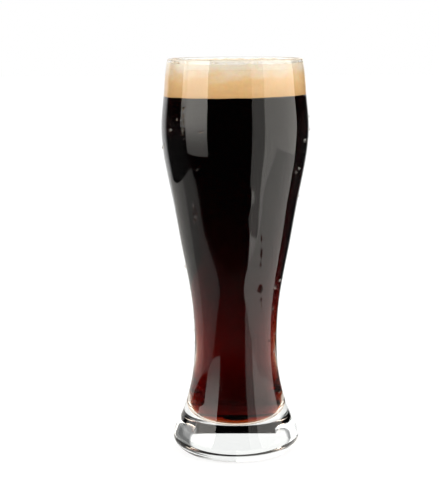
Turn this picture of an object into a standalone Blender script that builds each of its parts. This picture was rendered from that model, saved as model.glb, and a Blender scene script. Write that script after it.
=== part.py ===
"""A pint of stout in its tall curved beer glass.

Metres, +Z up, with the origin where the glass stands, in the middle of its foot. The glass is one
thick turned solid, open at the top: a heavy foot, a narrow waist and a full shoulder under the rim.
The stout fills it up to the foam line, and the foam stands on the stout up to just under the rim.
"""

import math

import bpy
import numpy as np

MM = 0.001

# Driving dimensions of the glass, in millimetres.
HEIGHT = 225.0
RIM_WALL = 2.0
FLOOR_THICKNESS = 14.7

# Round end of the cavity, wider than it is deep, which the wall rises from. A squareness of 2 would
# make it half an ellipse, and a higher one gives it a flatter floor and fuller corners.
CAVITY_END_RADIUS = 20.7
CAVITY_END_DEPTH = 12.5
CAVITY_END_SQUARENESS = 3.4
CAVITY_END_HEIGHT = FLOOR_THICKNESS + CAVITY_END_DEPTH

# Foot: the widest ring of the base, its rounding down to the table, and the hollow under it.
FOOT_WIDEST_RADIUS = 36.4
FOOT_WIDEST_HEIGHT = 7.5
FOOT_ROUNDING = 1.83
CONTACT_OUTER_RADIUS = 30.8
CONTACT_INNER_RADIUS = 19.0
PUNT_DEPTH = 1.5
PUNT_FLATNESS = 2.7

# Outer side of the glass above the foot, as (height, radius): the waist is at 63 and the shoulder at 189.
OUTER_STATIONS = (
    (FOOT_WIDEST_HEIGHT, FOOT_WIDEST_RADIUS),
    (14.0, 34.3),
    (22.0, 30.75),
    (31.5, 27.7),
    (43.5, 25.15),
    (63.0, 23.75),
    (90.5, 25.55),
    (119.5, 30.85),
    (146.5, 35.7),
    (170.0, 40.2),
    (189.0, 41.55),
    (206.0, 40.05),
    (215.5, 39.3),
    (HEIGHT, 37.9),
)

# Wall thickness above the cavity's round end, as (height, thickness): heavy low down and thin at the rim.
WALL_STATIONS = (
    (31.5, 6.9),
    (43.5, 6.8),
    (63.0, 6.5),
    (76.0, 5.2),
    (90.5, 3.8),
    (105.0, 3.1),
    (119.5, 2.8),
    (170.0, 2.4),
    (HEIGHT, RIM_WALL),
)

# What fills the glass.
STOUT_LEVEL = 204.5
FOAM_TOP = 221.6
FOAM_EDGE_ROUND = 1.2
FOAM_SWELL = 0.4
FILL_GAP = 0.3

# How finely the turned shapes are cut.
TURN_STEPS = 48
OUTER_ROWS = 26
INNER_ROWS = 20
STOUT_ROWS = 16
CAVITY_END_ROWS = 9
FOOT_ROWS = 5
RIM_ROWS = 6
PUNT_ROWS = 3
FOAM_ROWS = 7
MERGE_DISTANCE = 0.0001


def clear_scene():
    for obj in list(bpy.data.objects):
        bpy.data.objects.remove(obj, do_unlink=True)


def smooth_curve(stations, heights, start_slope=0.0):
    """Values at the heights, on the cubic spline through the (height, value) stations."""
    z = np.array([station[0] for station in stations])
    r = np.array([station[1] for station in stations])
    step = np.diff(z)
    slope = np.diff(r) / step
    last = len(z) - 1
    bends = np.zeros((last + 1, last + 1))
    pulls = np.zeros(last + 1)
    bends[0, :2] = 2 * step[0], step[0]
    pulls[0] = 6 * (slope[0] - start_slope)
    bends[last, last] = 1.0
    for i in range(1, last):
        bends[i, i - 1 : i + 2] = step[i - 1], 2 * (step[i - 1] + step[i]), step[i]
        pulls[i] = 6 * (slope[i] - slope[i - 1])
    bend = np.linalg.solve(bends, pulls)
    heights = np.asarray(heights, float)
    i = np.clip(np.searchsorted(z, heights) - 1, 0, last - 1)
    left, right = heights - z[i], z[i + 1] - heights
    return (
        (bend[i] * right**3 + bend[i + 1] * left**3) / (6 * step[i])
        + (r[i] / step[i] - bend[i] * step[i] / 6) * right
        + (r[i + 1] / step[i] - bend[i + 1] * step[i] / 6) * left
    )


def outer_radius(heights):
    return smooth_curve(OUTER_STATIONS, heights)


def wall_thickness(heights):
    """Thickness of the wall, which starts so that the cavity rises upright from its round end."""
    start, step = CAVITY_END_HEIGHT, 0.1
    slope = float(outer_radius(start + step) - outer_radius(start - step)) / (2 * step)
    first = (start, float(outer_radius(start)) - CAVITY_END_RADIUS)
    return smooth_curve((first, *WALL_STATIONS), heights, slope)


def cavity_radius(heights):
    """Inner radius of the glass: its wall line, closed at the bottom by a round end."""
    heights = np.asarray(heights, float)
    drop = np.clip((CAVITY_END_HEIGHT - heights) / CAVITY_END_DEPTH, 0.0, 1.0)
    end = CAVITY_END_RADIUS * (1.0 - drop**CAVITY_END_SQUARENESS) ** (1 / CAVITY_END_SQUARENESS)
    wall = outer_radius(heights) - wall_thickness(heights)
    return np.where(heights < CAVITY_END_HEIGHT, end, wall)


def round_end(inset):
    """Points of the cavity's round end, from the axis up to where the wall starts."""
    radius, depth = CAVITY_END_RADIUS - inset, CAVITY_END_DEPTH - inset
    power = 2 / CAVITY_END_SQUARENESS
    points = []
    for angle in np.linspace(0.0, math.pi / 2, CAVITY_END_ROWS + 1):
        drop = max(0.0, math.cos(angle)) ** power
        points.append((radius * math.sin(angle) ** power, CAVITY_END_HEIGHT - depth * drop))
    return points


def wall_rows(low, high, rows):
    """Points of the cavity's wall between two heights, without the lower one."""
    heights = np.linspace(low, high, rows + 1)[1:]
    return list(zip(cavity_radius(heights), heights))


def glass_profile():
    """From the floor of the cavity, up the inside, over the rim, down the outside and under the foot."""
    lip_radius = RIM_WALL / 2
    lip_height = HEIGHT - lip_radius
    lip_outer = float(outer_radius(lip_height))
    points = round_end(0.0)
    inside = wall_rows(CAVITY_END_HEIGHT, lip_height, INNER_ROWS)
    points += inside[:-1]
    lip_centre = lip_outer - lip_radius
    for angle in np.linspace(math.pi, 0.0, RIM_ROWS + 1):
        x = lip_centre + lip_radius * math.cos(angle)
        points.append((x, lip_height + lip_radius * math.sin(angle)))
    heights = np.linspace(lip_height, FOOT_WIDEST_HEIGHT, OUTER_ROWS + 1)[1:]
    points += list(zip(outer_radius(heights), heights))
    rounding = FOOT_WIDEST_RADIUS - CONTACT_OUTER_RADIUS
    for angle in np.linspace(0.0, math.pi / 2, FOOT_ROWS + 1)[1:]:
        x = CONTACT_OUTER_RADIUS + rounding * max(0.0, math.cos(angle)) ** FOOT_ROUNDING
        points.append((x, FOOT_WIDEST_HEIGHT * (1.0 - math.sin(angle))))
    for x in np.linspace(CONTACT_INNER_RADIUS, 0.0, PUNT_ROWS + 1):
        points.append((x, PUNT_DEPTH * (1.0 - (x / CONTACT_INNER_RADIUS) ** PUNT_FLATNESS)))
    return points


def stout_profile():
    """From the middle of its top, out to the wall and down to the bottom, clear of the glass."""
    side = wall_rows(CAVITY_END_HEIGHT, STOUT_LEVEL, STOUT_ROWS)
    points = [(0.0, STOUT_LEVEL)]
    points += [(x - FILL_GAP, z) for x, z in reversed(side)]
    points += reversed(round_end(FILL_GAP))
    return points


def foam_top(radius, edge):
    """Height of the foam: a low swell in the middle that rolls off at the glass."""
    share = radius / edge
    roll = max(0.0, radius - (edge - FOAM_EDGE_ROUND)) / FOAM_EDGE_ROUND
    sink = FOAM_EDGE_ROUND * (1.0 - math.sqrt(max(0.0, 1.0 - roll**2)))
    return FOAM_TOP + FOAM_SWELL * (1.0 - share**2) - sink


def foam_profile():
    """From the middle of its top, over the rolled edge and down the wall to the stout."""
    low = STOUT_LEVEL + FILL_GAP
    edge_height = FOAM_TOP - FOAM_EDGE_ROUND
    edge = float(cavity_radius(edge_height)) - FILL_GAP
    flat = np.linspace(0.0, edge - FOAM_EDGE_ROUND, FOAM_ROWS)
    roll = edge - FOAM_EDGE_ROUND + FOAM_EDGE_ROUND * np.sin(np.linspace(0.0, math.pi / 2, 4)[1:])
    points = [(x, foam_top(x, edge)) for x in (*flat, *roll)]
    heights = np.linspace(edge_height, low, FOAM_ROWS)[1:]
    points += [(float(cavity_radius(z)) - FILL_GAP, z) for z in heights]
    points.append((0.0, low))
    return points


def finish(name, colour, roughness, transmission=0.0, ior=1.5):
    material = bpy.data.materials.new(name)
    material.use_nodes = True
    shader = material.node_tree.nodes["Principled BSDF"]
    shader.inputs["Base Color"].default_value = (*colour, 1.0)
    shader.inputs["Roughness"].default_value = roughness
    shader.inputs["Metallic"].default_value = 0.0
    shader.inputs["Transmission Weight"].default_value = transmission
    shader.inputs["IOR"].default_value = ior
    return material


def turned(name, profile, material, collection):
    """A solid of revolution about Z from a profile of (radius, height) points in millimetres."""
    mesh = bpy.data.meshes.new(name)
    points = [(x * MM, 0.0, z * MM) for x, z in profile]
    edges = [(i, i + 1) for i in range(len(points) - 1)]
    mesh.from_pydata(points, edges, [])
    mesh.materials.append(material)
    obj = bpy.data.objects.new(name, mesh)
    collection.objects.link(obj)
    screw = obj.modifiers.new("Turn", "SCREW")
    screw.axis = "Z"
    screw.angle = 2 * math.pi
    screw.steps = TURN_STEPS
    screw.render_steps = TURN_STEPS
    screw.use_merge_vertices = True
    screw.merge_threshold = MERGE_DISTANCE
    screw.use_smooth_shade = True
    return obj


def main():
    clear_scene()
    collection = bpy.data.collections.new("pint_of_stout")
    bpy.context.scene.collection.children.link(collection)
    clear_glass = finish("clear glass", (0.97, 0.98, 0.97), 0.02, transmission=1.0, ior=1.5)
    dark_stout = finish("stout", (0.012, 0.003, 0.002), 0.05, ior=1.34)
    tan_foam = finish("stout foam", (0.75, 0.5, 0.24), 0.6)
    turned("glass", glass_profile(), clear_glass, collection)
    turned("stout", stout_profile(), dark_stout, collection)
    turned("foam_head", foam_profile(), tan_foam, collection)


main()
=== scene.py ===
# %% [markdown]
# # A pint of stout in its tall glass
# A glass of stout is three things that touch: clear glass, a nearly black liquid, and a head of foam.
# Each is easy alone. The craft is in where they meet, because light bends there, and in what stands
# round the glass, because a clear or a black shiny thing shows little but its surroundings.
#
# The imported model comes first. It gives the sizes, and nothing in it is moved: finer pieces are made
# in the same place, and they stand in for its plain solids.

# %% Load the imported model
import math

import bmesh
import bpy
import numpy as np
from mathutils import Matrix, Vector, noise


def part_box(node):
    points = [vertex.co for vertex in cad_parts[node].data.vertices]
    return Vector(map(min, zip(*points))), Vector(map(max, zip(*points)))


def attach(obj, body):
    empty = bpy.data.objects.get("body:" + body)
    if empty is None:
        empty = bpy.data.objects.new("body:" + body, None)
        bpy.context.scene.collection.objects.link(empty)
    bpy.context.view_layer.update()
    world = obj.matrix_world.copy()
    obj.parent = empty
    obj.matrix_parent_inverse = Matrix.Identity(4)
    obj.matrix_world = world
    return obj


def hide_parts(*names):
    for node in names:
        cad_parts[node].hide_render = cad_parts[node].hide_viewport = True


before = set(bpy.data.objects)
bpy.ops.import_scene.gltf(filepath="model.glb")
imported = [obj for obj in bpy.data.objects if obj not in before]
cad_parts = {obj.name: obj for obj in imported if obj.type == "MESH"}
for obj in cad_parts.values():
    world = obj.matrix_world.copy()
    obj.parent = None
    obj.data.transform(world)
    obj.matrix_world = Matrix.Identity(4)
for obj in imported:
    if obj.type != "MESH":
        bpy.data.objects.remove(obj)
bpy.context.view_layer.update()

MM = 0.001
for node in sorted(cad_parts):
    low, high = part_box(node)
    wide, tall = (high[0] - low[0]) / MM, (high[2] - low[2]) / MM
    print(node, "is", round(wide, 1), "mm wide and", round(tall, 1), "mm tall")

# %% [markdown]
# ## The camera
# A product photographer stands well back with a long lens, just above the rim, so that the foam's top
# closes to a thin line and the foot opens to a shallow curve. The focal length is kept in pixels of the
# photograph, the natural unit when a camera is matched to a picture; Blender's lens value follows from
# it. The camera turns a little to the side, since the glass stands right of the picture's middle.

# %% Place the camera
PHOTO_HEIGHT = 500
SENSOR_HEIGHT = 24.0
FOCAL_PIXELS = 1326.0
CLIP_START = 0.01
# Metres, and degrees for the three turns.
CAMERA_DISTANCE = 0.7493
CAMERA_HEIGHT = 0.2420
CAMERA_PITCH = 9.53
CAMERA_YAW = 0.70
CAMERA_ROLL = -0.286

lens = bpy.data.cameras.new("photo camera")
lens.sensor_fit = "VERTICAL"
lens.sensor_height = SENSOR_HEIGHT
lens.lens = FOCAL_PIXELS / PHOTO_HEIGHT * SENSOR_HEIGHT
lens.clip_start = CLIP_START
camera = bpy.data.objects.new("photo camera", lens)
bpy.context.scene.collection.objects.link(camera)
camera.matrix_world = (
    Matrix.Translation((0.0, -CAMERA_DISTANCE, CAMERA_HEIGHT))
    @ Matrix.Rotation(math.radians(CAMERA_YAW), 4, "Z")
    @ Matrix.Rotation(math.radians(90.0 - CAMERA_PITCH), 4, "X")
    @ Matrix.Rotation(math.radians(CAMERA_ROLL), 4, "Z")
)
bpy.context.scene.camera = camera
bpy.context.scene.view_settings.view_transform = "Standard"
print("lens", round(lens.lens, 1), "mm")

# %% [markdown]
# ## The curve of the glass
# The glass is blown into a mould and is round everywhere, so one outline describes it: a few radii that
# were measured at known heights, and a wall thickness that was matched to the way light bends through
# the foot and the waist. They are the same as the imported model's. All of them are in millimetres.

# %% Sizes of the glass
HEIGHT = 225.0
WAIST_HEIGHT = 63.0
SHOULDER_HEIGHT = 189.0
RIM_WALL = 2.0
FLOOR_THICKNESS = 14.7
CAVITY_END_RADIUS = 20.7
CAVITY_END_DEPTH = 12.5
CAVITY_END_SQUARENESS = 3.4
CAVITY_END_HEIGHT = FLOOR_THICKNESS + CAVITY_END_DEPTH
FOOT_WIDEST_RADIUS = 36.4
FOOT_WIDEST_HEIGHT = 7.5
CONTACT_OUTER_RADIUS = 30.8
CONTACT_INNER_RADIUS = 19.0
PUNT_DEPTH = 1.5
PUNT_FLATNESS = 2.7
FOOT_ROUNDING = 1.83

OUTER_STATIONS = (
    (FOOT_WIDEST_HEIGHT, FOOT_WIDEST_RADIUS),
    (14.0, 34.3), (22.0, 30.75), (31.5, 27.7), (43.5, 25.15),
    (WAIST_HEIGHT, 23.75),
    (90.5, 25.55), (119.5, 30.85), (146.5, 35.7), (170.0, 40.2),
    (SHOULDER_HEIGHT, 41.55),
    (206.0, 40.05), (215.5, 39.3),
    (HEIGHT, 37.9),
)
WALL_STATIONS = (
    (31.5, 6.9), (43.5, 6.8),
    (WAIST_HEIGHT, 6.5),
    (76.0, 5.2), (90.5, 3.8), (105.0, 3.1), (119.5, 2.8), (170.0, 2.4),
    (HEIGHT, RIM_WALL),
)

print("the glass is", HEIGHT, "mm tall, on a foot", 2 * FOOT_WIDEST_RADIUS, "mm wide")

# %% [markdown]
# ## From sizes to smooth curves
# A cubic spline makes one smooth curve through the measured points: the curve a bent steel rule takes
# when it is held at them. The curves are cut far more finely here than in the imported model, since every
# facet of a mirror-smooth wall would show in its reflections.

# %% The outline as smooth curves
def smooth_curve(stations, heights, start_slope=0.0):
    """Values at the heights, on the cubic spline through the (height, value) stations."""
    z = np.array([station[0] for station in stations])
    r = np.array([station[1] for station in stations])
    step = np.diff(z)
    slope = np.diff(r) / step
    last = len(z) - 1
    bends = np.zeros((last + 1, last + 1))
    pulls = np.zeros(last + 1)
    bends[0, :2] = 2 * step[0], step[0]
    pulls[0] = 6 * (slope[0] - start_slope)
    bends[last, last] = 1.0
    for i in range(1, last):
        bends[i, i - 1 : i + 2] = step[i - 1], 2 * (step[i - 1] + step[i]), step[i]
        pulls[i] = 6 * (slope[i] - slope[i - 1])
    bend = np.linalg.solve(bends, pulls)
    heights = np.asarray(heights, float)
    i = np.clip(np.searchsorted(z, heights) - 1, 0, last - 1)
    left, right = heights - z[i], z[i + 1] - heights
    return (
        (bend[i] * right**3 + bend[i + 1] * left**3) / (6 * step[i])
        + (r[i] / step[i] - bend[i] * step[i] / 6) * right
        + (r[i + 1] / step[i] - bend[i + 1] * step[i] / 6) * left
    )


def outer_radius(heights):
    """Radius of the outside of the glass."""
    return smooth_curve(OUTER_STATIONS, heights)


def wall_thickness(heights):
    """Thickness of the wall, which starts so that the cavity rises upright from its round end."""
    start, step = CAVITY_END_HEIGHT, 0.1
    slope = float(outer_radius(start + step) - outer_radius(start - step)) / (2 * step)
    first = (start, float(outer_radius(start)) - CAVITY_END_RADIUS)
    return smooth_curve((first, *WALL_STATIONS), heights, slope)


def cavity_radius(heights):
    """Inner radius of the glass: its wall line, closed at the bottom by a round end."""
    heights = np.asarray(heights, float)
    drop = np.clip((CAVITY_END_HEIGHT - heights) / CAVITY_END_DEPTH, 0.0, 1.0)
    end = CAVITY_END_RADIUS * (1.0 - drop**CAVITY_END_SQUARENESS) ** (1 / CAVITY_END_SQUARENESS)
    wall = outer_radius(heights) - wall_thickness(heights)
    return np.where(heights < CAVITY_END_HEIGHT, end, wall)


for place_name, place_height in (("waist", WAIST_HEIGHT), ("shoulder", SHOULDER_HEIGHT)):
    print(place_name, "radius", round(float(outer_radius(place_height)), 2), "mm")

# %% [markdown]
# ## Turning an outline
# Blender's Screw modifier turns an outline, and so does a small grid made in code. The grid is used here
# because its rows are known by number: the row where the drink's level falls is known, and each vertex
# can be shifted by a rule before the mesh is made, for a foam line that is not quite level or a wall
# that is not quite true.

# %% A helper that turns an outline
TURN_STEPS = 192
ON_AXIS = 1e-6


def turned(name, profile, reshape=None):
    """Turn (radius, height) points in mm round Z; reshape(radius, height, angle) may shift the grid."""
    steps = TURN_STEPS
    angle = np.linspace(0.0, 2 * math.pi, steps, endpoint=False)
    radius = np.repeat([[point[0]] for point in profile], steps, axis=1).astype(float)
    height = np.repeat([[point[1]] for point in profile], steps, axis=1).astype(float)
    on_axis = radius[:, 0] < ON_AXIS
    if reshape:
        radius, height = reshape(radius, height, np.broadcast_to(angle, radius.shape))
    index = np.arange(radius.size).reshape(radius.shape)
    index[on_axis] = index[on_axis, :1]
    used, index = np.unique(index, return_inverse=True)
    index = index.reshape(radius.shape)
    x, y = radius * np.cos(angle), radius * np.sin(angle)
    vertices = np.stack((x, y, height), axis=-1).reshape(-1, 3)[used] * MM
    faces = []
    for upper, lower in zip(index, index[1:]):
        for i in range(steps):
            j = (i + 1) % steps
            faces.append(tuple(dict.fromkeys((upper[i], lower[i], lower[j], upper[j]))))
    mesh = bpy.data.meshes.new(name)
    mesh.from_pydata(vertices.tolist(), [], faces)
    mesh.shade_smooth()
    piece = bpy.data.objects.new(name, mesh)
    bpy.context.scene.collection.objects.link(piece)
    print(name, "has", len(faces), "faces")
    return piece


# %% [markdown]
# ## Colours and nodes
# Colours are read off a screen as sRGB hex values, but light adds up in linear values, so one function
# turns the first into the second. A second small function adds a node with its settings and links, so
# that each material below reads as a short list.

# %% Helpers for materials
def colour(hex_code):
    """Linear red, green, blue and alpha of an sRGB hex colour such as #D8B183."""
    channels = [int(hex_code[i : i + 2], 16) / 255 for i in (1, 3, 5)]
    return (*[c / 12.92 if c <= 0.04045 else ((c + 0.055) / 1.055) ** 2.4 for c in channels], 1.0)


def add_node(tree, kind, settings=None, links=None):
    """Add one node. Settings name its sockets or properties, and links feed its sockets."""
    node = tree.nodes.new(kind)
    for key, value in (settings or {}).items():
        if isinstance(key, int) or key in node.inputs:
            node.inputs[key].default_value = value
        else:
            setattr(node, key, value)
    for key, source in (links or {}).items():
        tree.links.new(source, node.inputs[key])
    return node


def new_material(name):
    """A material with no nodes but a coordinate in metres that is fixed to the object."""
    material = bpy.data.materials.new(name)
    material.use_nodes = True
    tree = material.node_tree
    tree.nodes.clear()
    place = add_node(tree, "ShaderNodeTexCoord").outputs["Object"]
    return material, tree, place


def per_mm(size):
    """Texture scale that repeats about once in size millimetres."""
    return 1.0 / (size * MM)


# %% [markdown]
# ## The glass material
# The real material is soda-lime glass, blown and fire-polished: IOR about 1.5, colourless when thin, a
# breath of grey-green in a thick foot, and so smooth that its faces are mirrors. Handling leaves faint
# smears on it, so the roughness rises from nothing to a trace in slow patches, and the mould leaves it
# very slightly drawn up and down, which a low bump gives.
#
# What lies behind a wall changes the wall. Against air light bends by 1.5, but against the drink only by
# 1.5 over 1.34, so a wetted wall nearly vanishes. The same glass is therefore made twice, dry and wetted.

# %% Make the two glass materials
GLASS_IOR = 1.5
DRINK_IOR = 1.34
SMEAR_SIZE = 14.0
SMEAR_ROUGHNESS = 0.025
DRAW_WIDTH = 5.0
DRAW_LENGTH = 60.0
DRAW_HEIGHT = 0.2


def soda_lime_glass(name, ior):
    material, tree, place = new_material(name)
    smears = {"Scale": per_mm(SMEAR_SIZE), "Detail": 3.0}
    smear = add_node(tree, "ShaderNodeTexNoise", smears, {"Vector": place})
    roughness = add_node(
        tree,
        "ShaderNodeMapRange",
        {"From Min": 0.45, "From Max": 0.8, "To Min": 0.0, "To Max": SMEAR_ROUGHNESS},
        {"Value": smear.outputs["Fac"]},
    )
    tint = add_node(
        tree,
        "ShaderNodeMix",
        {"data_type": "RGBA", 6: colour("#FDFEFD"), 7: colour("#F7FAF8")},
        {0: smear.outputs["Fac"]},
    )
    drawn = add_node(
        tree,
        "ShaderNodeMapping",
        {"Scale": (per_mm(DRAW_WIDTH), per_mm(DRAW_WIDTH), per_mm(DRAW_LENGTH))},
        {"Vector": place},
    )
    ripples = {"Scale": 1.0, "Detail": 1.0}
    ripple = add_node(tree, "ShaderNodeTexNoise", ripples, {"Vector": drawn.outputs[0]})
    low_bump = {"Strength": 0.04, "Distance": DRAW_HEIGHT * MM}
    bump = add_node(tree, "ShaderNodeBump", low_bump, {"Height": ripple.outputs["Fac"]})
    shader = add_node(
        tree,
        "ShaderNodeBsdfPrincipled",
        {"IOR": ior, "Transmission Weight": 1.0, "Metallic": 0.0},
        {"Base Color": tint.outputs[2], "Roughness": roughness.outputs[0], "Normal": bump.outputs[0]},
    )
    add_node(tree, "ShaderNodeOutputMaterial", links={"Surface": shader.outputs[0]})
    return material


dry_glass = soda_lime_glass("soda-lime glass, dry", GLASS_IOR)
wetted_glass = soda_lime_glass("soda-lime glass, wetted by the drink", GLASS_IOR / DRINK_IOR)
print("wetted wall bends light by", round(GLASS_IOR / DRINK_IOR, 3))

# %% [markdown]
# ## The level of the drink
# The glass leans a touch against the drink, so the line where foam meets stout falls slightly to one
# side, and foam that clings and sinks leaves it faintly wavy. One function gives that line all the way
# round, and both the stout and the foam are cut to it, so that they always meet.

# %% The line between stout and foam
STOUT_LEVEL = 204.5
FOAM_TOP = 221.6
LEVEL_SLOPE = math.tan(math.radians(0.7))
LINE_WAVE = 0.22
LINE_WAVE_LENGTH = 9.0
# Which slice of the noise each pattern is cut from, so that no two are alike.
LINE_SLICE, FILM_SLICE, GRAIN_SLICE, HUMMOCK_SLICE = 3.0, 5.0, 7.0, 11.0


def level_shift(x, y):
    """How far the drink's level lies above its mean at a place, in mm."""
    wave = noise.noise(Vector((x, y, LINE_SLICE)) / LINE_WAVE_LENGTH)
    return x * LEVEL_SLOPE + LINE_WAVE * wave


shift_at = np.vectorize(level_shift, otypes=[float])
wall_at_line = float(cavity_radius(STOUT_LEVEL))
rise_to_right = level_shift(wall_at_line, 0.0) - level_shift(-wall_at_line, 0.0)
print("foam line at the right is", round(rise_to_right, 2), "mm above the left")

# %% [markdown]
# ## The glass
# The outline runs from the floor of the cavity up the inside, over the fire-polished lip, down the
# outside and under the foot, where a shallow hollow keeps the glass standing on a ring. The outside of a
# blown wall is never quite true: it wavers by a few hundredths of a millimetre over a finger's breadth,
# far too little to see as shape, yet enough to bend the edges of every reflection. It is in the mesh,
# not only in the material, and it fades out low down where the foot is pressed thick and true.

# %% Turn the glass
OUTER_ROWS = 150
INNER_ROWS = 120
END_ROWS = 80
FOOT_ROWS = 16
RIM_ROWS = 12
PUNT_ROWS = 12
WETTED_ABOVE = 1.0
WAVER = 0.015
WAVER_LENGTH = 26.0
WAVER_STRETCH = 0.7
WAVER_FROM = 35.0
WAVER_GROWS_OVER = 30.0
WAVER_FADES_OVER = 12.0


def round_end(inset):
    """Points of the cavity's round end, from the axis up to where the wall starts."""
    radius, depth = CAVITY_END_RADIUS - inset, CAVITY_END_DEPTH - inset
    power = 2 / CAVITY_END_SQUARENESS
    points = []
    for angle in np.linspace(0.0, math.pi / 2, END_ROWS + 1):
        drop = max(0.0, math.cos(angle)) ** power
        points.append((radius * math.sin(angle) ** power, CAVITY_END_HEIGHT - depth * drop))
    return points


def wall_rows(low, high, rows, inset=0.0):
    """Points of the cavity's wall between two heights, without the lower one."""
    heights = np.linspace(low, high, rows + 1)[1:]
    return list(zip(cavity_radius(heights) - inset, heights))


def lip():
    """The rounded rim, from the inside to the outside."""
    lip_height = HEIGHT - RIM_WALL / 2
    centre = float(outer_radius(lip_height)) - RIM_WALL / 2
    angles = np.linspace(math.pi, 0.0, RIM_ROWS + 1)
    return [(centre + RIM_WALL / 2 * math.cos(a), lip_height + RIM_WALL / 2 * math.sin(a)) for a in angles]


def underside():
    """The foot's rounding, the ring it stands on and the hollow, in to the axis."""
    rounding = FOOT_WIDEST_RADIUS - CONTACT_OUTER_RADIUS
    points = []
    for angle in np.linspace(0.0, math.pi / 2, FOOT_ROWS + 1)[1:]:
        x = CONTACT_OUTER_RADIUS + rounding * max(0.0, math.cos(angle)) ** FOOT_ROUNDING
        points.append((x, FOOT_WIDEST_HEIGHT * (1.0 - math.sin(angle))))
    for x in np.linspace(CONTACT_INNER_RADIUS, 0.0, PUNT_ROWS + 1):
        points.append((x, PUNT_DEPTH * (1.0 - (x / CONTACT_INNER_RADIUS) ** PUNT_FLATNESS)))
    return points


inside = round_end(0.0) + wall_rows(CAVITY_END_HEIGHT, HEIGHT - RIM_WALL / 2, INNER_ROWS)[:-1]
outer_heights = np.linspace(HEIGHT - RIM_WALL / 2, FOOT_WIDEST_HEIGHT, OUTER_ROWS + 1)[1:]
outside = list(zip(outer_radius(outer_heights), outer_heights))
first_outside = len(inside) + RIM_ROWS + 1


def waver(x, y, z):
    """How far the outside strays from round at a place, in mm."""
    grown = min(1.0, max(0.0, (z - WAVER_FROM) / WAVER_GROWS_OVER))
    fade = grown * min(1.0, max(0.0, (HEIGHT - z) / WAVER_FADES_OVER))
    return WAVER * fade * noise.noise(Vector((x, y, z * WAVER_STRETCH)) / WAVER_LENGTH)


def untrue_wall(radius, height, angle):
    """Add the waver to the rows of the outside."""
    rows = slice(first_outside, first_outside + OUTER_ROWS)
    x, y = radius[rows] * np.cos(angle[rows]), radius[rows] * np.sin(angle[rows])
    radius[rows] += np.vectorize(waver, otypes=[float])(x, y, height[rows])
    return radius, height


glass = turned("clear_glass", inside + lip() + outside + underside(), untrue_wall)
wet_rows = sum(1 for point in inside if point[1] < STOUT_LEVEL + WETTED_ABOVE) - 1
glass.data.materials.append(dry_glass)
glass.data.materials.append(wetted_glass)
is_wet = np.arange(len(glass.data.polygons)) < wet_rows * TURN_STEPS
glass.data.polygons.foreach_set("material_index", is_wet.astype(np.int32))
print(wet_rows, "rows of the inside are wetted")

# %% [markdown]
# ## The stout
# Stout isn't black. Roasted barley colours it a deep red-brown that swallows green and blue first, so
# four centimetres look black and four millimetres look ruby, and the narrow waist of the glass is where
# the change shows. A painted surface can't do that. The liquid is a clear body that absorbs light along
# its path, in values per metre: red weakly, green nearly three times and blue five times as fast.
#
# Light already bends at the wetted wall, so the stout's own surface doesn't bend it again: its IOR is 1.
# The piece reaches a twentieth of a millimetre into the wall, or a line of air would shine at its side.

# %% Make the stout material
ABSORBED_PER_METRE = (103.0, 290.0, 540.0)
HAZE_SIZE = 7.0


def dark_stout():
    material, tree, place = new_material("stout, red-brown and clear in thin layers")
    hazes = {"Scale": per_mm(HAZE_SIZE), "Detail": 4.0}
    haze = add_node(tree, "ShaderNodeTexNoise", hazes, {"Vector": place})
    clarity = add_node(
        tree,
        "ShaderNodeMix",
        {"data_type": "RGBA", 6: colour("#FFFFFF"), 7: colour("#F1E4DC")},
        {0: haze.outputs["Fac"]},
    )
    surface = add_node(
        tree,
        "ShaderNodeBsdfPrincipled",
        {"IOR": 1.0, "Transmission Weight": 1.0, "Roughness": 0.0, "Metallic": 0.0},
        {"Base Color": clarity.outputs[2]},
    )
    density = max(ABSORBED_PER_METRE)
    passed_on = (*[1.0 - share / density for share in ABSORBED_PER_METRE], 1.0)
    body = add_node(tree, "ShaderNodeVolumeAbsorption", {"Color": passed_on, "Density": density})
    both = {"Surface": surface.outputs[0], "Volume": body.outputs[0]}
    add_node(tree, "ShaderNodeOutputMaterial", links=both)
    return material


stout_liquid = dark_stout()
for depth in (4.0, 40.0):
    left_over = [math.exp(-share * depth * MM) for share in ABSORBED_PER_METRE]
    print(depth, "mm of stout let through", [round(share, 4) for share in left_over])

# %% [markdown]
# ## The body of stout
# The stout fills the cavity up to the foam line. It is turned from the same wall line as the glass, and
# its top rows follow the tilted, wavy level.

# %% Turn the stout
STOUT_ROWS = 120
INTO_WALL = 0.05
LEVEL_ROWS_FROM = 150.0


def follow_level(radius, height, angle):
    """Shift heights near the drink's top to its level, and keep each point on the wall's line."""
    x, y = radius * np.cos(angle), radius * np.sin(angle)
    share = np.clip((height - LEVEL_ROWS_FROM) / (STOUT_LEVEL - LEVEL_ROWS_FROM), 0.0, 1.0)
    raised = height + share * shift_at(x, y)
    return radius * cavity_radius(raised) / cavity_radius(height), raised


stout_top = [(0.0, STOUT_LEVEL)]
stout_side = wall_rows(CAVITY_END_HEIGHT, STOUT_LEVEL, STOUT_ROWS, -INTO_WALL)
stout = turned("stout_liquid", stout_top + stout_side[::-1] + round_end(-INTO_WALL)[::-1], follow_level)
stout.data.materials.append(stout_liquid)

# %% [markdown]
# ## The foam material
# Stout foam is a wet, fine cream of bubbles too small to see one by one. Light scatters inside it many
# times, so it is matt, and it takes its tan from the little beer between the bubbles: deeper low down
# where it drains, paler near the top where it dries. Soft mottling at three sizes, and a fine cell
# pattern that is drawn coarser than the real tenth of a millimetre so that it shows, keep it from
# looking like plaster. A coat on it is the film of beer that makes it shine at a low angle.

# %% Make the foam material
CLOUD_SIZE = 11.0
CURD_SIZE = 2.2
CELL_SIZE = 0.45
CLOUD_STRETCH = 2.2
WATER_IOR = 1.33
FOAM_BUMP = 0.3
FOAM_WETNESS = 0.8
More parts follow.
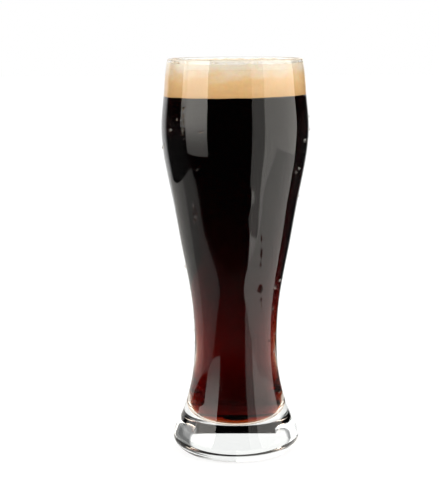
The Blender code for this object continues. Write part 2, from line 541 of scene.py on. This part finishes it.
# How pale the foam is at its top, on a scale that starts at 0 where it is drained, and its tones there.
FOAM_PALE = 0.72
CLOUD_SHARE = 0.5
FOAM_TONES = ((0.1, "#C99C66"), (0.62, "#D9B483"), (0.95, "#DCCFBC"))


def tan_foam(name):
    material, tree, place = new_material(name)
    height = add_node(tree, "ShaderNodeSeparateXYZ", links={"Vector": place}).outputs["Z"]
    drained = add_node(
        tree,
        "ShaderNodeMapRange",
        {"From Min": STOUT_LEVEL * MM, "From Max": FOAM_TOP * MM, "To Max": FOAM_PALE},
        {"Value": height},
    )
    layers = {"Scale": (1.0, 1.0, CLOUD_STRETCH)}
    stretched = add_node(tree, "ShaderNodeMapping", layers, {"Vector": place}).outputs[0]
    clouds = {"Scale": per_mm(CLOUD_SIZE), "Detail": 3.0}
    cloud = add_node(tree, "ShaderNodeTexNoise", clouds, {"Vector": stretched})
    curds = {"Scale": per_mm(CURD_SIZE), "Detail": 5.0}
    curd = add_node(tree, "ShaderNodeTexNoise", curds, {"Vector": place})
    cells = add_node(tree, "ShaderNodeTexVoronoi", {"Scale": per_mm(CELL_SIZE)}, {"Vector": place})
    lift = add_node(
        tree,
        "ShaderNodeMath",
        {"operation": "MULTIPLY_ADD", 1: CLOUD_SHARE},
        {0: cloud.outputs["Fac"], 2: drained.outputs[0]},
    )
    body = add_node(tree, "ShaderNodeValToRGB", links={"Fac": lift.outputs[0]})
    stops = body.color_ramp.elements
    low, middle, high = FOAM_TONES
    stops[0].position, stops[0].color = low[0], colour(low[1])
    stops[1].position, stops[1].color = high[0], colour(high[1])
    stops.new(middle[0]).color = colour(middle[1])
    mottled = add_node(
        tree,
        "ShaderNodeMix",
        {"data_type": "RGBA", "blend_type": "MULTIPLY", 0: 0.22},
        {6: body.outputs[0], 7: curd.outputs["Color"]},
    )
    relief = add_node(
        tree,
        "ShaderNodeMath",
        {"operation": "MULTIPLY_ADD", 1: 0.35},
        {0: cells.outputs["Distance"], 2: curd.outputs["Fac"]},
    )
    grainy = {"Strength": 0.35, "Distance": FOAM_BUMP * MM}
    bump = add_node(tree, "ShaderNodeBump", grainy, {"Height": relief.outputs[0]})
    shader = add_node(
        tree,
        "ShaderNodeBsdfPrincipled",
        {
            "Roughness": 0.85,
            "Specular IOR Level": 0.1,
            "IOR": DRINK_IOR,
            "Metallic": 0.0,
            "Coat Weight": FOAM_WETNESS,
            "Coat Roughness": 0.06,
            "Coat IOR": WATER_IOR,
        },
        {"Base Color": mottled.outputs[2], "Normal": bump.outputs[0]},
    )
    add_node(tree, "ShaderNodeOutputMaterial", links={"Surface": shader.outputs[0]})
    return material


foam_cream = tan_foam("stout foam, fine and moist")
print("foam runs from", STOUT_LEVEL, "to", FOAM_TOP, "mm")

# %% [markdown]
# ## The foam head
# The head fills the glass to just under the rim. Its side is pressed flat by the wall. Its top swells a
# little in the middle, rolls down where it meets the glass, and is pitted and hummocky on a small scale,
# as foam is when the first large bubbles have burst. The relief is in the mesh, from two sizes of noise.

# %% Turn the foam head
FOAM_EDGE_ROUND = 1.2
FOAM_SWELL = 0.4
TOP_ROWS = 76
ROLL_ROWS = 8
SIDE_ROWS = 40
HUMMOCK = 0.35
HUMMOCK_LENGTH = 8.0
GRAIN = 0.16
GRAIN_LENGTH = 1.9
NEAR_AXIS = 1.0


def foam_relief(x, y):
    """Unevenness of the foam's top at a place, in mm."""
    hummock = noise.noise(Vector((x, y, HUMMOCK_SLICE)) / HUMMOCK_LENGTH)
    grain = noise.fractal(Vector((x, y, GRAIN_SLICE)) / GRAIN_LENGTH, 1.0, 2.0, 3)
    return HUMMOCK * hummock + GRAIN * grain


foam_edge_height = FOAM_TOP - FOAM_EDGE_ROUND
foam_edge = float(cavity_radius(foam_edge_height)) + INTO_WALL


def foam_top(radius):
    """Mean height of the foam: a low swell that rolls off at the glass."""
    roll = np.clip((radius - (foam_edge - FOAM_EDGE_ROUND)) / FOAM_EDGE_ROUND, 0.0, 1.0)
    sink = FOAM_EDGE_ROUND * (1.0 - np.sqrt(1.0 - roll**2))
    return FOAM_TOP + FOAM_SWELL * (1.0 - (radius / foam_edge) ** 2) - sink


def foam_surface(radius, height, angle):
    """Add relief to the top, and stretch the side between the uneven top edge and the foam line."""
    x, y = radius * np.cos(angle), radius * np.sin(angle)
    relief = np.vectorize(foam_relief, otypes=[float])(x, y)
    share = np.clip((height - STOUT_LEVEL) / (foam_edge_height - STOUT_LEVEL), 0.0, 1.0)
    raised = height + share * relief + (1.0 - share) * shift_at(x, y) + share * x * LEVEL_SLOPE
    on_side = np.arange(len(radius))[:, None] >= TOP_ROWS
    on_wall = cavity_radius(raised) + INTO_WALL
    return np.where(on_side & (radius > NEAR_AXIS), on_wall, radius), raised


flat = np.linspace(0.0, foam_edge - FOAM_EDGE_ROUND, TOP_ROWS - ROLL_ROWS)
roll_angles = np.linspace(0.0, math.pi / 2, ROLL_ROWS + 1)[1:]
rolled = foam_edge - FOAM_EDGE_ROUND + FOAM_EDGE_ROUND * np.sin(roll_angles)
foam_points = [(x, float(foam_top(x))) for x in (*flat, *rolled)]
side_heights = np.linspace(foam_edge_height, STOUT_LEVEL - INTO_WALL, SIDE_ROWS + 1)[1:]
foam_points += list(zip(cavity_radius(side_heights) + INTO_WALL, side_heights))
foam_points.append((0.0, STOUT_LEVEL - INTO_WALL))
foam = turned("foam_head_fine", foam_points, foam_surface)
foam.data.materials.append(foam_cream)

# %% [markdown]
# ## The foam film under the lip
# The head stood higher before it settled, and left a thin film of foam on the wall, nearly up to the lip
# at the back. It is a separate skin with a ragged upper edge. Its foot is sunk in the head and its back
# reaches a touch into the glass.

# %% Turn the film
FILM_THICKNESS = 0.22
FILM_FOOT = 219.0
FILM_TOP = 222.3
FILM_BACK_RISE = 1.7
FILM_BACK_REACH = 0.5
FILM_RAGGED = 0.5
FILM_RAGGED_LENGTH = 5.0
FILM_ROWS = 14


def film_edge(x, y):
    """The film's ragged edge at a place, as a slice of noise."""
    return noise.fractal(Vector((x, y, FILM_SLICE)) / FILM_RAGGED_LENGTH, 1.0, 2.0, 4)


def ragged_film(radius, height, angle):
    """Stretch the film between its level foot and its ragged top edge, along the wall."""
    x, y = np.cos(angle) * foam_edge, np.sin(angle) * foam_edge
    edge = np.vectorize(film_edge)(x, y)
    share = (height - FILM_FOOT) / (FILM_TOP - FILM_FOOT)
    at_back = np.clip(FILM_BACK_REACH + np.sin(angle), 0.0, 1.0)
    raised = height + share * (FILM_RAGGED * edge + FILM_BACK_RISE * at_back)
    return radius + cavity_radius(raised) - cavity_radius(height), raised


film_heights = np.linspace(FILM_FOOT, FILM_TOP, FILM_ROWS)
film_back = list(zip(cavity_radius(film_heights) + INTO_WALL, film_heights))
film_front = list(zip(cavity_radius(film_heights) - FILM_THICKNESS, film_heights))
film = turned("foam_film", film_front + film_back[::-1] + film_front[:1], ragged_film)
film.data.materials.append(foam_cream)

# %% [markdown]
# ## Many small shapes in one mesh
# Bubbles and drops are the same few shapes over and over. One helper makes a ball, one a hollow ball: a
# round skin with a second one turned inside out within it. A third copies a shape to many places and
# joins the copies into one mesh, which is light to draw and easy to hand over.

# %% Helpers that scatter small shapes
SKIN_PATCH = 0.6


def ball(subdivisions):
    """Vertices and faces of a unit ball."""
    shape = bmesh.new()
    bmesh.ops.create_icosphere(shape, subdivisions=subdivisions, radius=1.0)
    vertices = np.array([v.co for v in shape.verts])
    faces = np.array([[v.index for v in f.verts] for f in shape.faces])
    shape.free()
    return vertices, faces


def hollow_ball(subdivisions, inner):
    """A ball with a smaller one inside it, turned inside out."""
    vertices, faces = ball(subdivisions)
    both = np.concatenate((vertices, vertices * inner))
    return both, np.concatenate((faces, faces[:, ::-1] + len(vertices)))


def joined(name, shape, places, material):
    """One mesh of many copies; a place is a 3 by 3 matrix and a centre, both in mm."""
    vertices, faces = shape
    all_vertices = [vertices @ np.asarray(turn).T + np.asarray(centre) for turn, centre in places]
    all_faces = [faces + k * len(vertices) for k in range(len(places))]
    mesh = bpy.data.meshes.new(name)
    mesh.from_pydata((np.concatenate(all_vertices) * MM).tolist(), [], np.concatenate(all_faces).tolist())
    mesh.shade_smooth()
    mesh.materials.append(material)
    piece = bpy.data.objects.new(name, mesh)
    bpy.context.scene.collection.objects.link(piece)
    print(name, "has", len(places), "shapes and", len(mesh.polygons), "faces")
    return piece


def water_clear(name, ior, skin, tint="#FFFBF4"):
    """A liquid that bends and mirrors light; its roughness wavers between none and that of its skin."""
    material, tree, place = new_material(name)
    patches = {"Scale": per_mm(SKIN_PATCH), "Detail": 2.0}
    film = add_node(tree, "ShaderNodeTexNoise", patches, {"Vector": place})
    patchy = {"Value": film.outputs["Fac"]}
    roughness = add_node(tree, "ShaderNodeMapRange", {"To Max": skin}, patchy)
    shader = add_node(
        tree,
        "ShaderNodeBsdfPrincipled",
        {"Base Color": colour(tint), "IOR": ior, "Transmission Weight": 1.0, "Metallic": 0.0},
        {"Roughness": roughness.outputs[0]},
    )
    add_node(tree, "ShaderNodeOutputMaterial", links={"Surface": shader.outputs[0]})
    return material


print("a ball has", len(ball(2)[1]), "faces, or", len(ball(3)[1]), "when it is cut finer")

# %% [markdown]
# ## Bubbles on the foam
# A few larger bubbles always stand in the finished head, most of them along the wall, where the foam
# tears last. A bubble is a thin skin of beer round air, so each is a hollow ball, half sunk in the foam.

# %% Scatter the bubbles on the foam
FOAM_BUBBLES = 620
BUBBLE_SKIN = 0.93
SMALLEST_BUBBLE = 0.16
BUBBLE_RANGE = 0.5
SHARE_BY_WALL = 0.55
WALL_BAND = 2.4
CLEAR_OF_WALL = 0.1
CLEAR_OF_MIDDLE = 0.5
BUBBLE_LIFT = 0.1
draw = np.random.default_rng(11)
bubble_places = []
for _ in range(FOAM_BUBBLES):
    size = SMALLEST_BUBBLE + BUBBLE_RANGE * draw.random() ** 3
    if draw.random() < SHARE_BY_WALL:
        inset = abs(draw.normal(0.0, WALL_BAND)) + size + CLEAR_OF_WALL
    else:
        inset = foam_edge * (1.0 - math.sqrt(draw.random()))
    radius = max(CLEAR_OF_MIDDLE, foam_edge - inset)
    angle = draw.random() * 2 * math.pi
    x, y = radius * math.cos(angle), radius * math.sin(angle)
    top = float(foam_top(radius)) + foam_relief(x, y) + x * LEVEL_SLOPE
    bubble_places.append((np.eye(3) * size, (x, y, top + BUBBLE_LIFT * size)))
bubble_skin = water_clear("bubble skin of beer", WATER_IOR, 0.03)
foam_bubbles = joined("foam_bubbles", hollow_ball(2, BUBBLE_SKIN), bubble_places, bubble_skin)

# %% [markdown]
# ## Bubbles in the drink
# Small bubbles hang on the wall under the foam and rise along it in loose strings. They are wholly sunk
# in the drink, so the plain model leaves them out. Each is drawn as a ball of clear liquid with a hollow
# in it, which catches the light at its rim as a real bubble does.

# %% Scatter the bubbles in the drink
STRINGS = 26
STRING_LENGTH = 7
STRING_STEP = 2.4
SHORTEST_STEP = 0.3
STRING_FROM = 45.0
STRING_STARTS_OVER = 140.0
STRING_SWAY = 0.02
LOOSE_BUBBLES = 130
LOOSE_DEPTH = 60.0
SMALLEST_SUNK = 0.12
SUNK_RANGE = 0.2
SUNK_HOLLOW = 0.8
CLEAR_OF_GLASS = 0.08
HIGHEST_SUNK = STOUT_LEVEL - 1.5
sunk_draw = np.random.default_rng(23)
sunk_places = []


def add_sunk_bubble(angle, height):
    """One bubble just clear of the wall."""
    size = SMALLEST_SUNK + SUNK_RANGE * sunk_draw.random() ** 2
    radius = float(cavity_radius(height)) - size - CLEAR_OF_GLASS
    centre = (radius * math.cos(angle), radius * math.sin(angle), height)
    sunk_places.append((np.eye(3) * size, centre))


for _ in range(STRINGS):
    angle = sunk_draw.random() * 2 * math.pi
    height = STRING_FROM + STRING_STARTS_OVER * sunk_draw.random()
    for _ in range(STRING_LENGTH):
        height += STRING_STEP * (SHORTEST_STEP + sunk_draw.random())
        angle += STRING_SWAY * sunk_draw.normal()
        add_sunk_bubble(angle, min(height, HIGHEST_SUNK))
for _ in range(LOOSE_BUBBLES):
    angle = sunk_draw.random() * 2 * math.pi
    add_sunk_bubble(angle, HIGHEST_SUNK - LOOSE_DEPTH * sunk_draw.random() ** 2)
stout_bubbles = joined("stout_bubbles", hollow_ball(2, SUNK_HOLLOW), sunk_places, bubble_skin)

# %% [markdown]
# ## Drops on the glass
# A cold glass gathers a little water. The photograph shows some twenty drops on the near side, so those
# are put where it shows them: a sight line through the camera is followed until it meets the glass. A
# drop is a ball of water with a third of it sunk in the glass, longer than it is wide where it has begun
# to run. Very fine ones roughen the left edge of a reflection. More are scattered round the sides and
# the back, where the photograph can't show them.
#
# A few of the marks are dark red. Their dark is painted shade: a dark red tint on the surface of these
# drops, which the light takes on as it goes in and out, stands in for the dark room that they mirror.

# %% Put the drops on the glass
PHOTO_CENTRE = (219.5, 249.5)
# Each drop as read off the photograph: pixel across, pixel down, then its width and length in mm.
DROPS_SEEN = (
    (177.0, 119.0, 1.1, 1.3), (170.5, 129.5, 1.5, 1.6), (183.0, 130.0, 1.4, 1.5),
    (201.0, 131.0, 1.7, 1.8), (197.0, 169.0, 0.9, 1.1), (193.5, 205.0, 1.0, 1.3),
    (195.5, 217.0, 1.2, 1.3), (194.0, 221.5, 1.4, 1.9), (207.0, 242.0, 1.0, 1.4),
    (261.5, 305.0, 1.6, 1.8), (305.0, 140.0, 1.2, 2.4), (299.0, 168.0, 1.2, 1.9),
    (296.0, 172.0, 1.4, 1.7), (280.0, 280.0, 1.5, 1.9), (275.0, 287.0, 1.3, 2.4),
    (272.0, 308.0, 1.4, 1.6), (269.0, 340.0, 1.1, 1.5), (274.0, 351.0, 1.0, 1.5),
)
# The drops with painted dark shade, in the same way.
DARK_SHADED_DROPS = (
    (261.5, 238.0, 0.9, 4.6), (261.5, 253.0, 1.0, 6.0), (260.5, 264.0, 0.9, 2.6),
    (260.3, 288.5, 2.6, 5.0), (261.0, 299.0, 1.1, 2.2), (194.5, 209.0, 1.1, 1.5),
    (193.5, 213.5, 1.0, 1.6), (196.5, 213.0, 0.9, 1.2), (195.0, 219.5, 1.2, 1.8),
)
# The mist of fine drops: where it lies and how wide it scatters, in pixels.
MIST_DROPS = 90
MIST_AT = (183.0, 117.0)
MIST_SPREAD = (1.3, 9.0)
MIST_SMALLEST = 0.35
MIST_RANGE = 0.3
MIST_LENGTH = 1.2
# The drops out of sight: their bearings in degrees and their heights in mm.
FAR_DROPS = 60
FAR_BEARINGS = (-20.0, 200.0)
FAR_FROM = 60.0
FAR_OVER = 140.0
FAR_SMALLEST = 0.6
FAR_RANGE = 1.2
FAR_LENGTH = 1.1
# The shape of a drop as shares of its width and its thickness, and how a sight line is followed.
DROP_THICKNESS = 0.5
DROP_LIFT = 0.35
SLOPE_REACH = 0.5
HALVINGS = 40


def on_outside(across, down):
    """Angle and height in mm where the sight line of a pixel meets the glass."""
    start = camera.matrix_world.translation / MM
    sight = Vector((across - PHOTO_CENTRE[0], PHOTO_CENTRE[1] - down, -FOCAL_PIXELS))
    sight = (camera.matrix_world.to_3x3() @ sight).normalized()
    near, far = 0.0, -start.xy.dot(sight.xy) / sight.xy.dot(sight.xy)
    for _ in range(HALVINGS):
        middle = (near + far) / 2
        place = start + sight * middle
        inside = place.xy.length < float(outer_radius(place.z))
        near, far = (near, middle) if inside else (middle, far)
    return math.atan2(place.y, place.x), place.z


def drop_place(angle, height, width, length):
    """Turn and centre of a drop that lies on the wall, with its length up the wall."""
    rise = float(outer_radius(height + SLOPE_REACH) - outer_radius(height - SLOPE_REACH))
    slope = rise / (2 * SLOPE_REACH)
    out = Vector((math.cos(angle), math.sin(angle), -slope)).normalized()
    side = Vector((-math.sin(angle), math.cos(angle), 0.0))
    up = out.cross(side)
    thick = DROP_THICKNESS * width
    turn = Matrix((side * width / 2, up * length / 2, out * thick)).transposed()
    foot = Vector((math.cos(angle), math.sin(angle), 0.0)) * float(outer_radius(height))
    centre = foot + Vector((0.0, 0.0, height)) + out * thick * DROP_LIFT
    return np.array(turn), tuple(centre)


def seen_drops(seen):
    """Places of the drops that were read off the photograph."""
    return [drop_place(*on_outside(across, down), width, length) for across, down, width, length in seen]


drop_draw = np.random.default_rng(5)
drop_places = seen_drops(DROPS_SEEN)
for _ in range(MIST_DROPS):
    across, down = (at + drop_draw.normal() * spread for at, spread in zip(MIST_AT, MIST_SPREAD))
    angle, height = on_outside(across, down)
    size = MIST_SMALLEST + MIST_RANGE * drop_draw.random()
    drop_places.append(drop_place(angle, height, size, size * MIST_LENGTH))
for _ in range(FAR_DROPS):
    angle = math.radians(drop_draw.uniform(*FAR_BEARINGS))
    size = FAR_SMALLEST + FAR_RANGE * drop_draw.random() ** 2
    height = FAR_FROM + FAR_OVER * drop_draw.random()
    drop_places.append(drop_place(angle, height, size, size * (FAR_LENGTH + drop_draw.random())))
water = water_clear("water drops", WATER_IOR, 0.02)
drops = joined("water_drops", ball(3), drop_places, water)
# A dark red tint on these drops is painted shade, for the dark that they mirror.
painted_shade_water = water_clear("water drops with painted dark red shade", DRINK_IOR, 0.02, "#8A4A42")
painted_shade_drops = joined("water_drops_painted_shade", ball(3), seen_drops(DARK_SHADED_DROPS), painted_shade_water)

# %% [markdown]
# ## The floor
# The glass stands on a pale, evenly lit board that runs out to white. Its glow stands for the many soft
# lamps of a studio: with them, the floor is the same tone everywhere and the glass casts only a faint
# shadow. The board is far wider than a real one, so it is hidden from mirror-like reflections and from
# what shines through the glass. A smaller table and a sheet of paper show there in its place.

# %% The floor
FLOOR_HALF = 6.0
FLOOR_GAP = 0.0002
FLOOR_GLOW = 0.7
PAPER_GRAIN = 1.5
BOARD_TONES = ("#8A8A8A", "#929292")
PLAIN_WHITE = (1.0, 1.0, 1.0)


def matt_white(name, glow, tones, light=PLAIN_WHITE):
    """A matt, faintly grained white that also glows a little."""
    material, tree, place = new_material(name)
    grains = {"Scale": per_mm(PAPER_GRAIN), "Detail": 3.0}
    grain = add_node(tree, "ShaderNodeTexNoise", grains, {"Vector": place})
    tone = add_node(
        tree,
        "ShaderNodeMix",
        {"data_type": "RGBA", 6: colour(tones[0]), 7: colour(tones[1])},
        {0: grain.outputs["Fac"]},
    )
    shader = add_node(
        tree,
        "ShaderNodeBsdfPrincipled",
        {
            "Roughness": 0.8,
            "Specular IOR Level": 0.0,
            "Emission Color": (*light, 1.0),
            "Emission Strength": glow,
        },
        {"Base Color": tone.outputs[2]},
    )
    add_node(tree, "ShaderNodeOutputMaterial", links={"Surface": shader.outputs[0]})
    return material


def lay_flat(name, outline, height, material, hidden_from):
    """A flat sheet of the studio from its (x, y) corners, hidden from some kinds of ray. In metres."""
    mesh = bpy.data.meshes.new(name)
    mesh.from_pydata([(x, y, height) for x, y in outline], [], [tuple(range(len(outline)))])
    mesh.materials.append(material)
    sheet = bpy.data.objects.new(name, mesh)
    bpy.context.scene.collection.objects.link(sheet)
    for ray in hidden_from:
        setattr(sheet, "visible_" + ray, False)


floor_corners = [(x * FLOOR_HALF, y * FLOOR_HALF) for x, y in ((-1, -1), (1, -1), (1, 1), (-1, 1))]
board = matt_white("matt white board", FLOOR_GLOW, BOARD_TONES)
lay_flat("floor", floor_corners, -FLOOR_GAP, board, ("glossy", "transmission"))
print("floor is", 2 * FLOOR_HALF, "m wide")

# %% [markdown]
# ## The table and the paper
# The lower half of every reflection in the drink is the table top, seen in a curved mirror. Its near
# edge is where the reflections break off, and it is brighter at the right, where more light falls on it.
# Only mirror-like rays see this table. Through the clear foot one looks at white paper instead, which
# ends at the same near edge: past it the room is dark, and that gives the foot its dark bands.

# %% The table and the paper
TABLE_HEIGHT = -0.0001
TABLE_NEAR = -0.1705
TABLE_LEFT = -0.46
TABLE_RIGHT = 0.70
TABLE_FAR = 0.60
LEFT_SEAM = 0.08
MIDDLE_SEAM = 0.10
TABLE_TONES = ("#484848", "#505050")
WARM_WHITE = (1.0, 0.965, 0.91)
# Each part's name, its glow (painted light, strongest at the right) and its corners, with the glass at (0,
# 0).
TABLE_PARTS = (
    ("left part", 0.3, ((TABLE_LEFT, LEFT_SEAM), (TABLE_LEFT, -0.106), (0.0, TABLE_NEAR), (0.0, 0.0))),
    (
        "left part, far side",
        0.6,
        (
            (TABLE_LEFT, TABLE_FAR),
            (TABLE_LEFT, LEFT_SEAM),
            (0.0, 0.0),
            (0.0, MIDDLE_SEAM),
            (-0.03, TABLE_FAR),
        ),
    ),
    (
        "right part",
        1.6,
        ((0.0, MIDDLE_SEAM), (0.0, TABLE_NEAR), (TABLE_RIGHT, -0.269), (TABLE_RIGHT, 0.25), (0.03, 0.0107)),
    ),
)
PAPER_OUTLINE = ((-6.0, 0.676), (6.0, -1.017), (6.0, 6.0), (-6.0, 6.0))

for part, glow, outline in TABLE_PARTS:
    table_painted_light = matt_white("matt white table, " + part, glow, TABLE_TONES, WARM_WHITE)
    unseen = ("camera", "transmission", "diffuse", "shadow")
    lay_flat("table_top, " + part, outline, TABLE_HEIGHT, table_painted_light, unseen)
paper_white = matt_white("matt white paper", FLOOR_GLOW, BOARD_TONES)
unseen = ("camera", "glossy", "diffuse", "shadow")
lay_flat("paper_seen_through_glass", PAPER_OUTLINE, -FLOOR_GAP, paper_white, unseen)
print("the table's near edge is", round(-TABLE_NEAR / MM), "mm in front of the glass")

# %% [markdown]
# ## The room
# Clear glass needs darkness beside the light. Behind the glass hangs a white screen, no wider than it
# has to be, and level with it all the rest is dark, which draws the dark edges of the glass. Higher up
# the screen is wider and has a bright end at the left, which the flared foot bends into view. The
# ceiling is nearly black, so that it doesn't lighten the foot's dark bands.
#
# Foam would be black in such a room, so what lights matt things is a soft light of its own, brighter
# from the right and weaker from above. The camera itself sees plain white all round. A world shader does
# this. The bearing of a ray picks from a row of tones, one row for level rays and one for rays that
# rise. Its rise mixes the two and then the ceiling, and the kind of ray picks the light.

# %% The room behind and around
HIGH_FROM = 8.0
HIGH_SOFTNESS = 3.0
CEILING_FROM = 50.0
CEILING_SOFTNESS = 5.0
CEILING_SEEN = 0.02
SOFT_LIGHT = 1.98
SOFT_LIGHT_ABOVE = 0.6
SOFT_ABOVE_FROM = 40.0
SOFT_ABOVE_SOFTNESS = 20.0
# Rows of (bearing, tone). Bearings are degrees from straight behind the glass, growing to the right.
SOFT_ROW = ((-180.0, 1.0), (-100.0, 1.25), (-20.0, 0.95), (40.0, 1.2), (105.0, 1.75), (180.0, 1.0))
LEVEL_ROW = ((-180.0, 0.01), (-47.0, 0.01), (-37.0, 1.0), (15.0, 1.0), (25.0, 0.01), (180.0, 0.01))
HIGH_ROW = (
    (-180.0, 0.01), (-92.0, 0.01), (-86.0, 2.0), (-52.0, 2.0), (-46.0, 0.25), (-38.0, 1.0),
    (26.0, 1.0), (31.0, 0.2), (78.0, 0.2), (84.0, 0.01), (180.0, 0.01),
)


def grey(level):
    """A grey of this level, as Blender's colour sockets take it."""
    return (level, level, level, 1.0)


def tones_by_bearing(tree, share, row):
    """The tone at a ray's share of the whole turn, from a row of (bearing, tone)."""
    ramp = add_node(tree, "ShaderNodeValToRGB", links={"Fac": share})
    stops = ramp.color_ramp.elements
    stops[0].color, stops[1].color = grey(row[0][1]), grey(row[-1][1])
    for degrees, level in row[1:-1]:
        stops.new((degrees + 180.0) / 360.0).color = grey(level)
    return ramp.outputs[0]


def rising_past(tree, rise, elevation, softness):
    """0 below an elevation in degrees and 1 above it, with a soft step."""
    settings = {
        "interpolation_type": "SMOOTHSTEP",
        "From Min": math.sin(math.radians(elevation - softness)),
        "From Max": math.sin(math.radians(elevation + softness)),
    }
    return add_node(tree, "ShaderNodeMapRange", settings, {"Value": rise}).outputs[0]


def mixed(tree, share, first, second):
    """One light or another, by a share from 0 to 1."""
    links = {0: share, 1: first.outputs[0], 2: second.outputs[0]}
    return add_node(tree, "ShaderNodeMixShader", links=links)


room = bpy.data.worlds.new("studio")
bpy.context.scene.world = room
room.use_nodes = True
tree = room.node_tree
tree.nodes.clear()
sight = add_node(tree, "ShaderNodeTexCoord").outputs["Generated"]
direction = add_node(tree, "ShaderNodeSeparateXYZ", links={0: sight}).outputs
bearing = add_node(tree, "ShaderNodeMath", {"operation": "ARCTAN2"}, {0: direction["X"], 1: direction["Y"]})
whole_turn = {"From Min": -math.pi, "From Max": math.pi}
share = add_node(tree, "ShaderNodeMapRange", whole_turn, {"Value": bearing.outputs[0]}).outputs[0]
level_row = tones_by_bearing(tree, share, LEVEL_ROW)
high_row = tones_by_bearing(tree, share, HIGH_ROW)
above = rising_past(tree, direction["Z"], HIGH_FROM, HIGH_SOFTNESS)
walls = add_node(tree, "ShaderNodeMix", {"data_type": "RGBA"}, {0: above, 6: level_row, 7: high_row})
wall_light = add_node(tree, "ShaderNodeBackground", links={"Color": walls.outputs[2]})
ceiling = add_node(tree, "ShaderNodeBackground", {"Color": grey(CEILING_SEEN)})
upward = rising_past(tree, direction["Z"], CEILING_FROM, CEILING_SOFTNESS)
seen_room = mixed(tree, upward, wall_light, ceiling)
path = add_node(tree, "ShaderNodeLightPath").outputs
soft_row = tones_by_bearing(tree, share, SOFT_ROW)
soft_light = add_node(tree, "ShaderNodeBackground", {"Strength": SOFT_LIGHT}, {"Color": soft_row})
soft_above = add_node(tree, "ShaderNodeBackground", {"Color": grey(1.0), "Strength": SOFT_LIGHT_ABOVE})
overhead = rising_past(tree, direction["Z"], SOFT_ABOVE_FROM, SOFT_ABOVE_SOFTNESS)
soft_room = mixed(tree, overhead, soft_light, soft_above)
lit_room = mixed(tree, path["Diffuse Depth"], seen_room, soft_room)
backdrop = add_node(tree, "ShaderNodeBackground", {"Color": grey(1.0)})
shown = mixed(tree, path["Is Camera Ray"], lit_room, backdrop)
add_node(tree, "ShaderNodeOutputWorld", links={"Surface": shown.outputs[0]})
print("the room has", len(HIGH_ROW), "tones above and", len(LEVEL_ROW), "level")

# %% [markdown]
# ## The softboxes
# The left softbox ends a little below the table's level, and so its mirror image ends halfway down the
# drink and starts again where the waist turns upward. The right one reaches lower, and a grey card hides
# the upper part of its near end. Area lights have exactly this shape. They are hidden from the camera,
# as they stand outside the picture.

# %% The softboxes
EDGE_LIGHT = 0.28
BOX_DISTANCE = 0.84
BOX_TOP = 1.1
LEFT_FACING, LEFT_SPLIT = -44.0, -81.0
CARD_FACING, CARD_END, CARD_FOOT = 36.0, 46.0, -0.295
RIGHT_FOOT, RIGHT_LIGHT = -1.2, 2.35


def softbox(name, facing, start, end, low, high, radiance, even_from=None):
    """A flat light square to the bearing it faces, from bearing start to end and height low to high.

    Bearings are degrees from the camera's side of the glass, growing to the right, and heights are metres.
    Below the height even_from, if one is given, the light falls off towards the lower edge.
    """
    out = Vector((math.sin(math.radians(facing)), -math.cos(math.radians(facing)), 0.0))
    along = Vector((math.cos(math.radians(facing)), math.sin(math.radians(facing)), 0.0))
    near = BOX_DISTANCE * math.tan(math.radians(start - facing))
    far = BOX_DISTANCE * math.tan(math.radians(end - facing))
    light = bpy.data.lights.new(name, "AREA")
    light.shape = "RECTANGLE"
    light.size, light.size_y = far - near, high - low
    light.energy = radiance * math.pi * light.size * light.size_y
    light.color = WARM_WHITE
    lamp = bpy.data.objects.new(name, light)
    bpy.context.scene.collection.objects.link(lamp)
    aside = along * (near + far) / 2
    lamp.location = out * BOX_DISTANCE + aside + Vector((0.0, 0.0, (low + high) / 2))
    lamp.rotation_euler = (-out).to_track_quat("-Z", "Y").to_euler()
    lamp.visible_camera = False
    if even_from is not None:
        light.use_nodes = True
        tree = light.node_tree
        across = add_node(tree, "ShaderNodeNewGeometry").outputs["Parametric"]
        rise = add_node(tree, "ShaderNodeSeparateXYZ", links={0: across}).outputs["Y"]
        limits = {"From Max": (even_from - low) / (high - low), "To Min": EDGE_LIGHT, "To Max": 1.0}
        limits["interpolation_type"] = "SMOOTHSTEP"
        share = add_node(tree, "ShaderNodeMapRange", limits, {"Value": rise})
        tree.links.new(share.outputs[0], tree.nodes["Emission"].inputs["Strength"])
    print(name, "is", round(light.size, 2), "by", round(light.size_y, 2), "m")


softbox("left softbox", LEFT_FACING, LEFT_SPLIT, -43.0, -0.104, BOX_TOP, 3.5, 0.33)
softbox("left softbox, outer end", LEFT_FACING, -92.0, LEFT_SPLIT, 0.157, BOX_TOP, 2.6)
softbox("right softbox", 60.0, CARD_END, 109.0, RIGHT_FOOT, BOX_TOP, RIGHT_LIGHT)
softbox("right softbox, below the card", CARD_FACING, 30.0, CARD_END, RIGHT_FOOT, CARD_FOOT, RIGHT_LIGHT)
softbox("grey card", CARD_FACING, 26.0, CARD_END, CARD_FOOT, BOX_TOP, 0.85)

# %% [markdown]
# ## Tying the pieces to the frame
# Each piece is tied to the body it moves with, and listed with the material slot it takes its finish from.
# The plain solids of the imported model that the pieces stand in for are hidden.

# %% Tie the pieces to the frame
PIECES = (
    (glass, "clear_glass"),
    (drops, "clear_glass"),
    (stout, "stout"),
    (stout_bubbles, "stout"),
    # These drops take the stout's slot, though their dark red is painted shade.
    (painted_shade_drops, "stout"),
    (foam, "foam"),
    (film, "foam"),
    (foam_bubbles, "foam"),
)
for piece, slot in PIECES:
    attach(piece, "root")
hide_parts("glass")
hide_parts("stout")
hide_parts("foam_head")
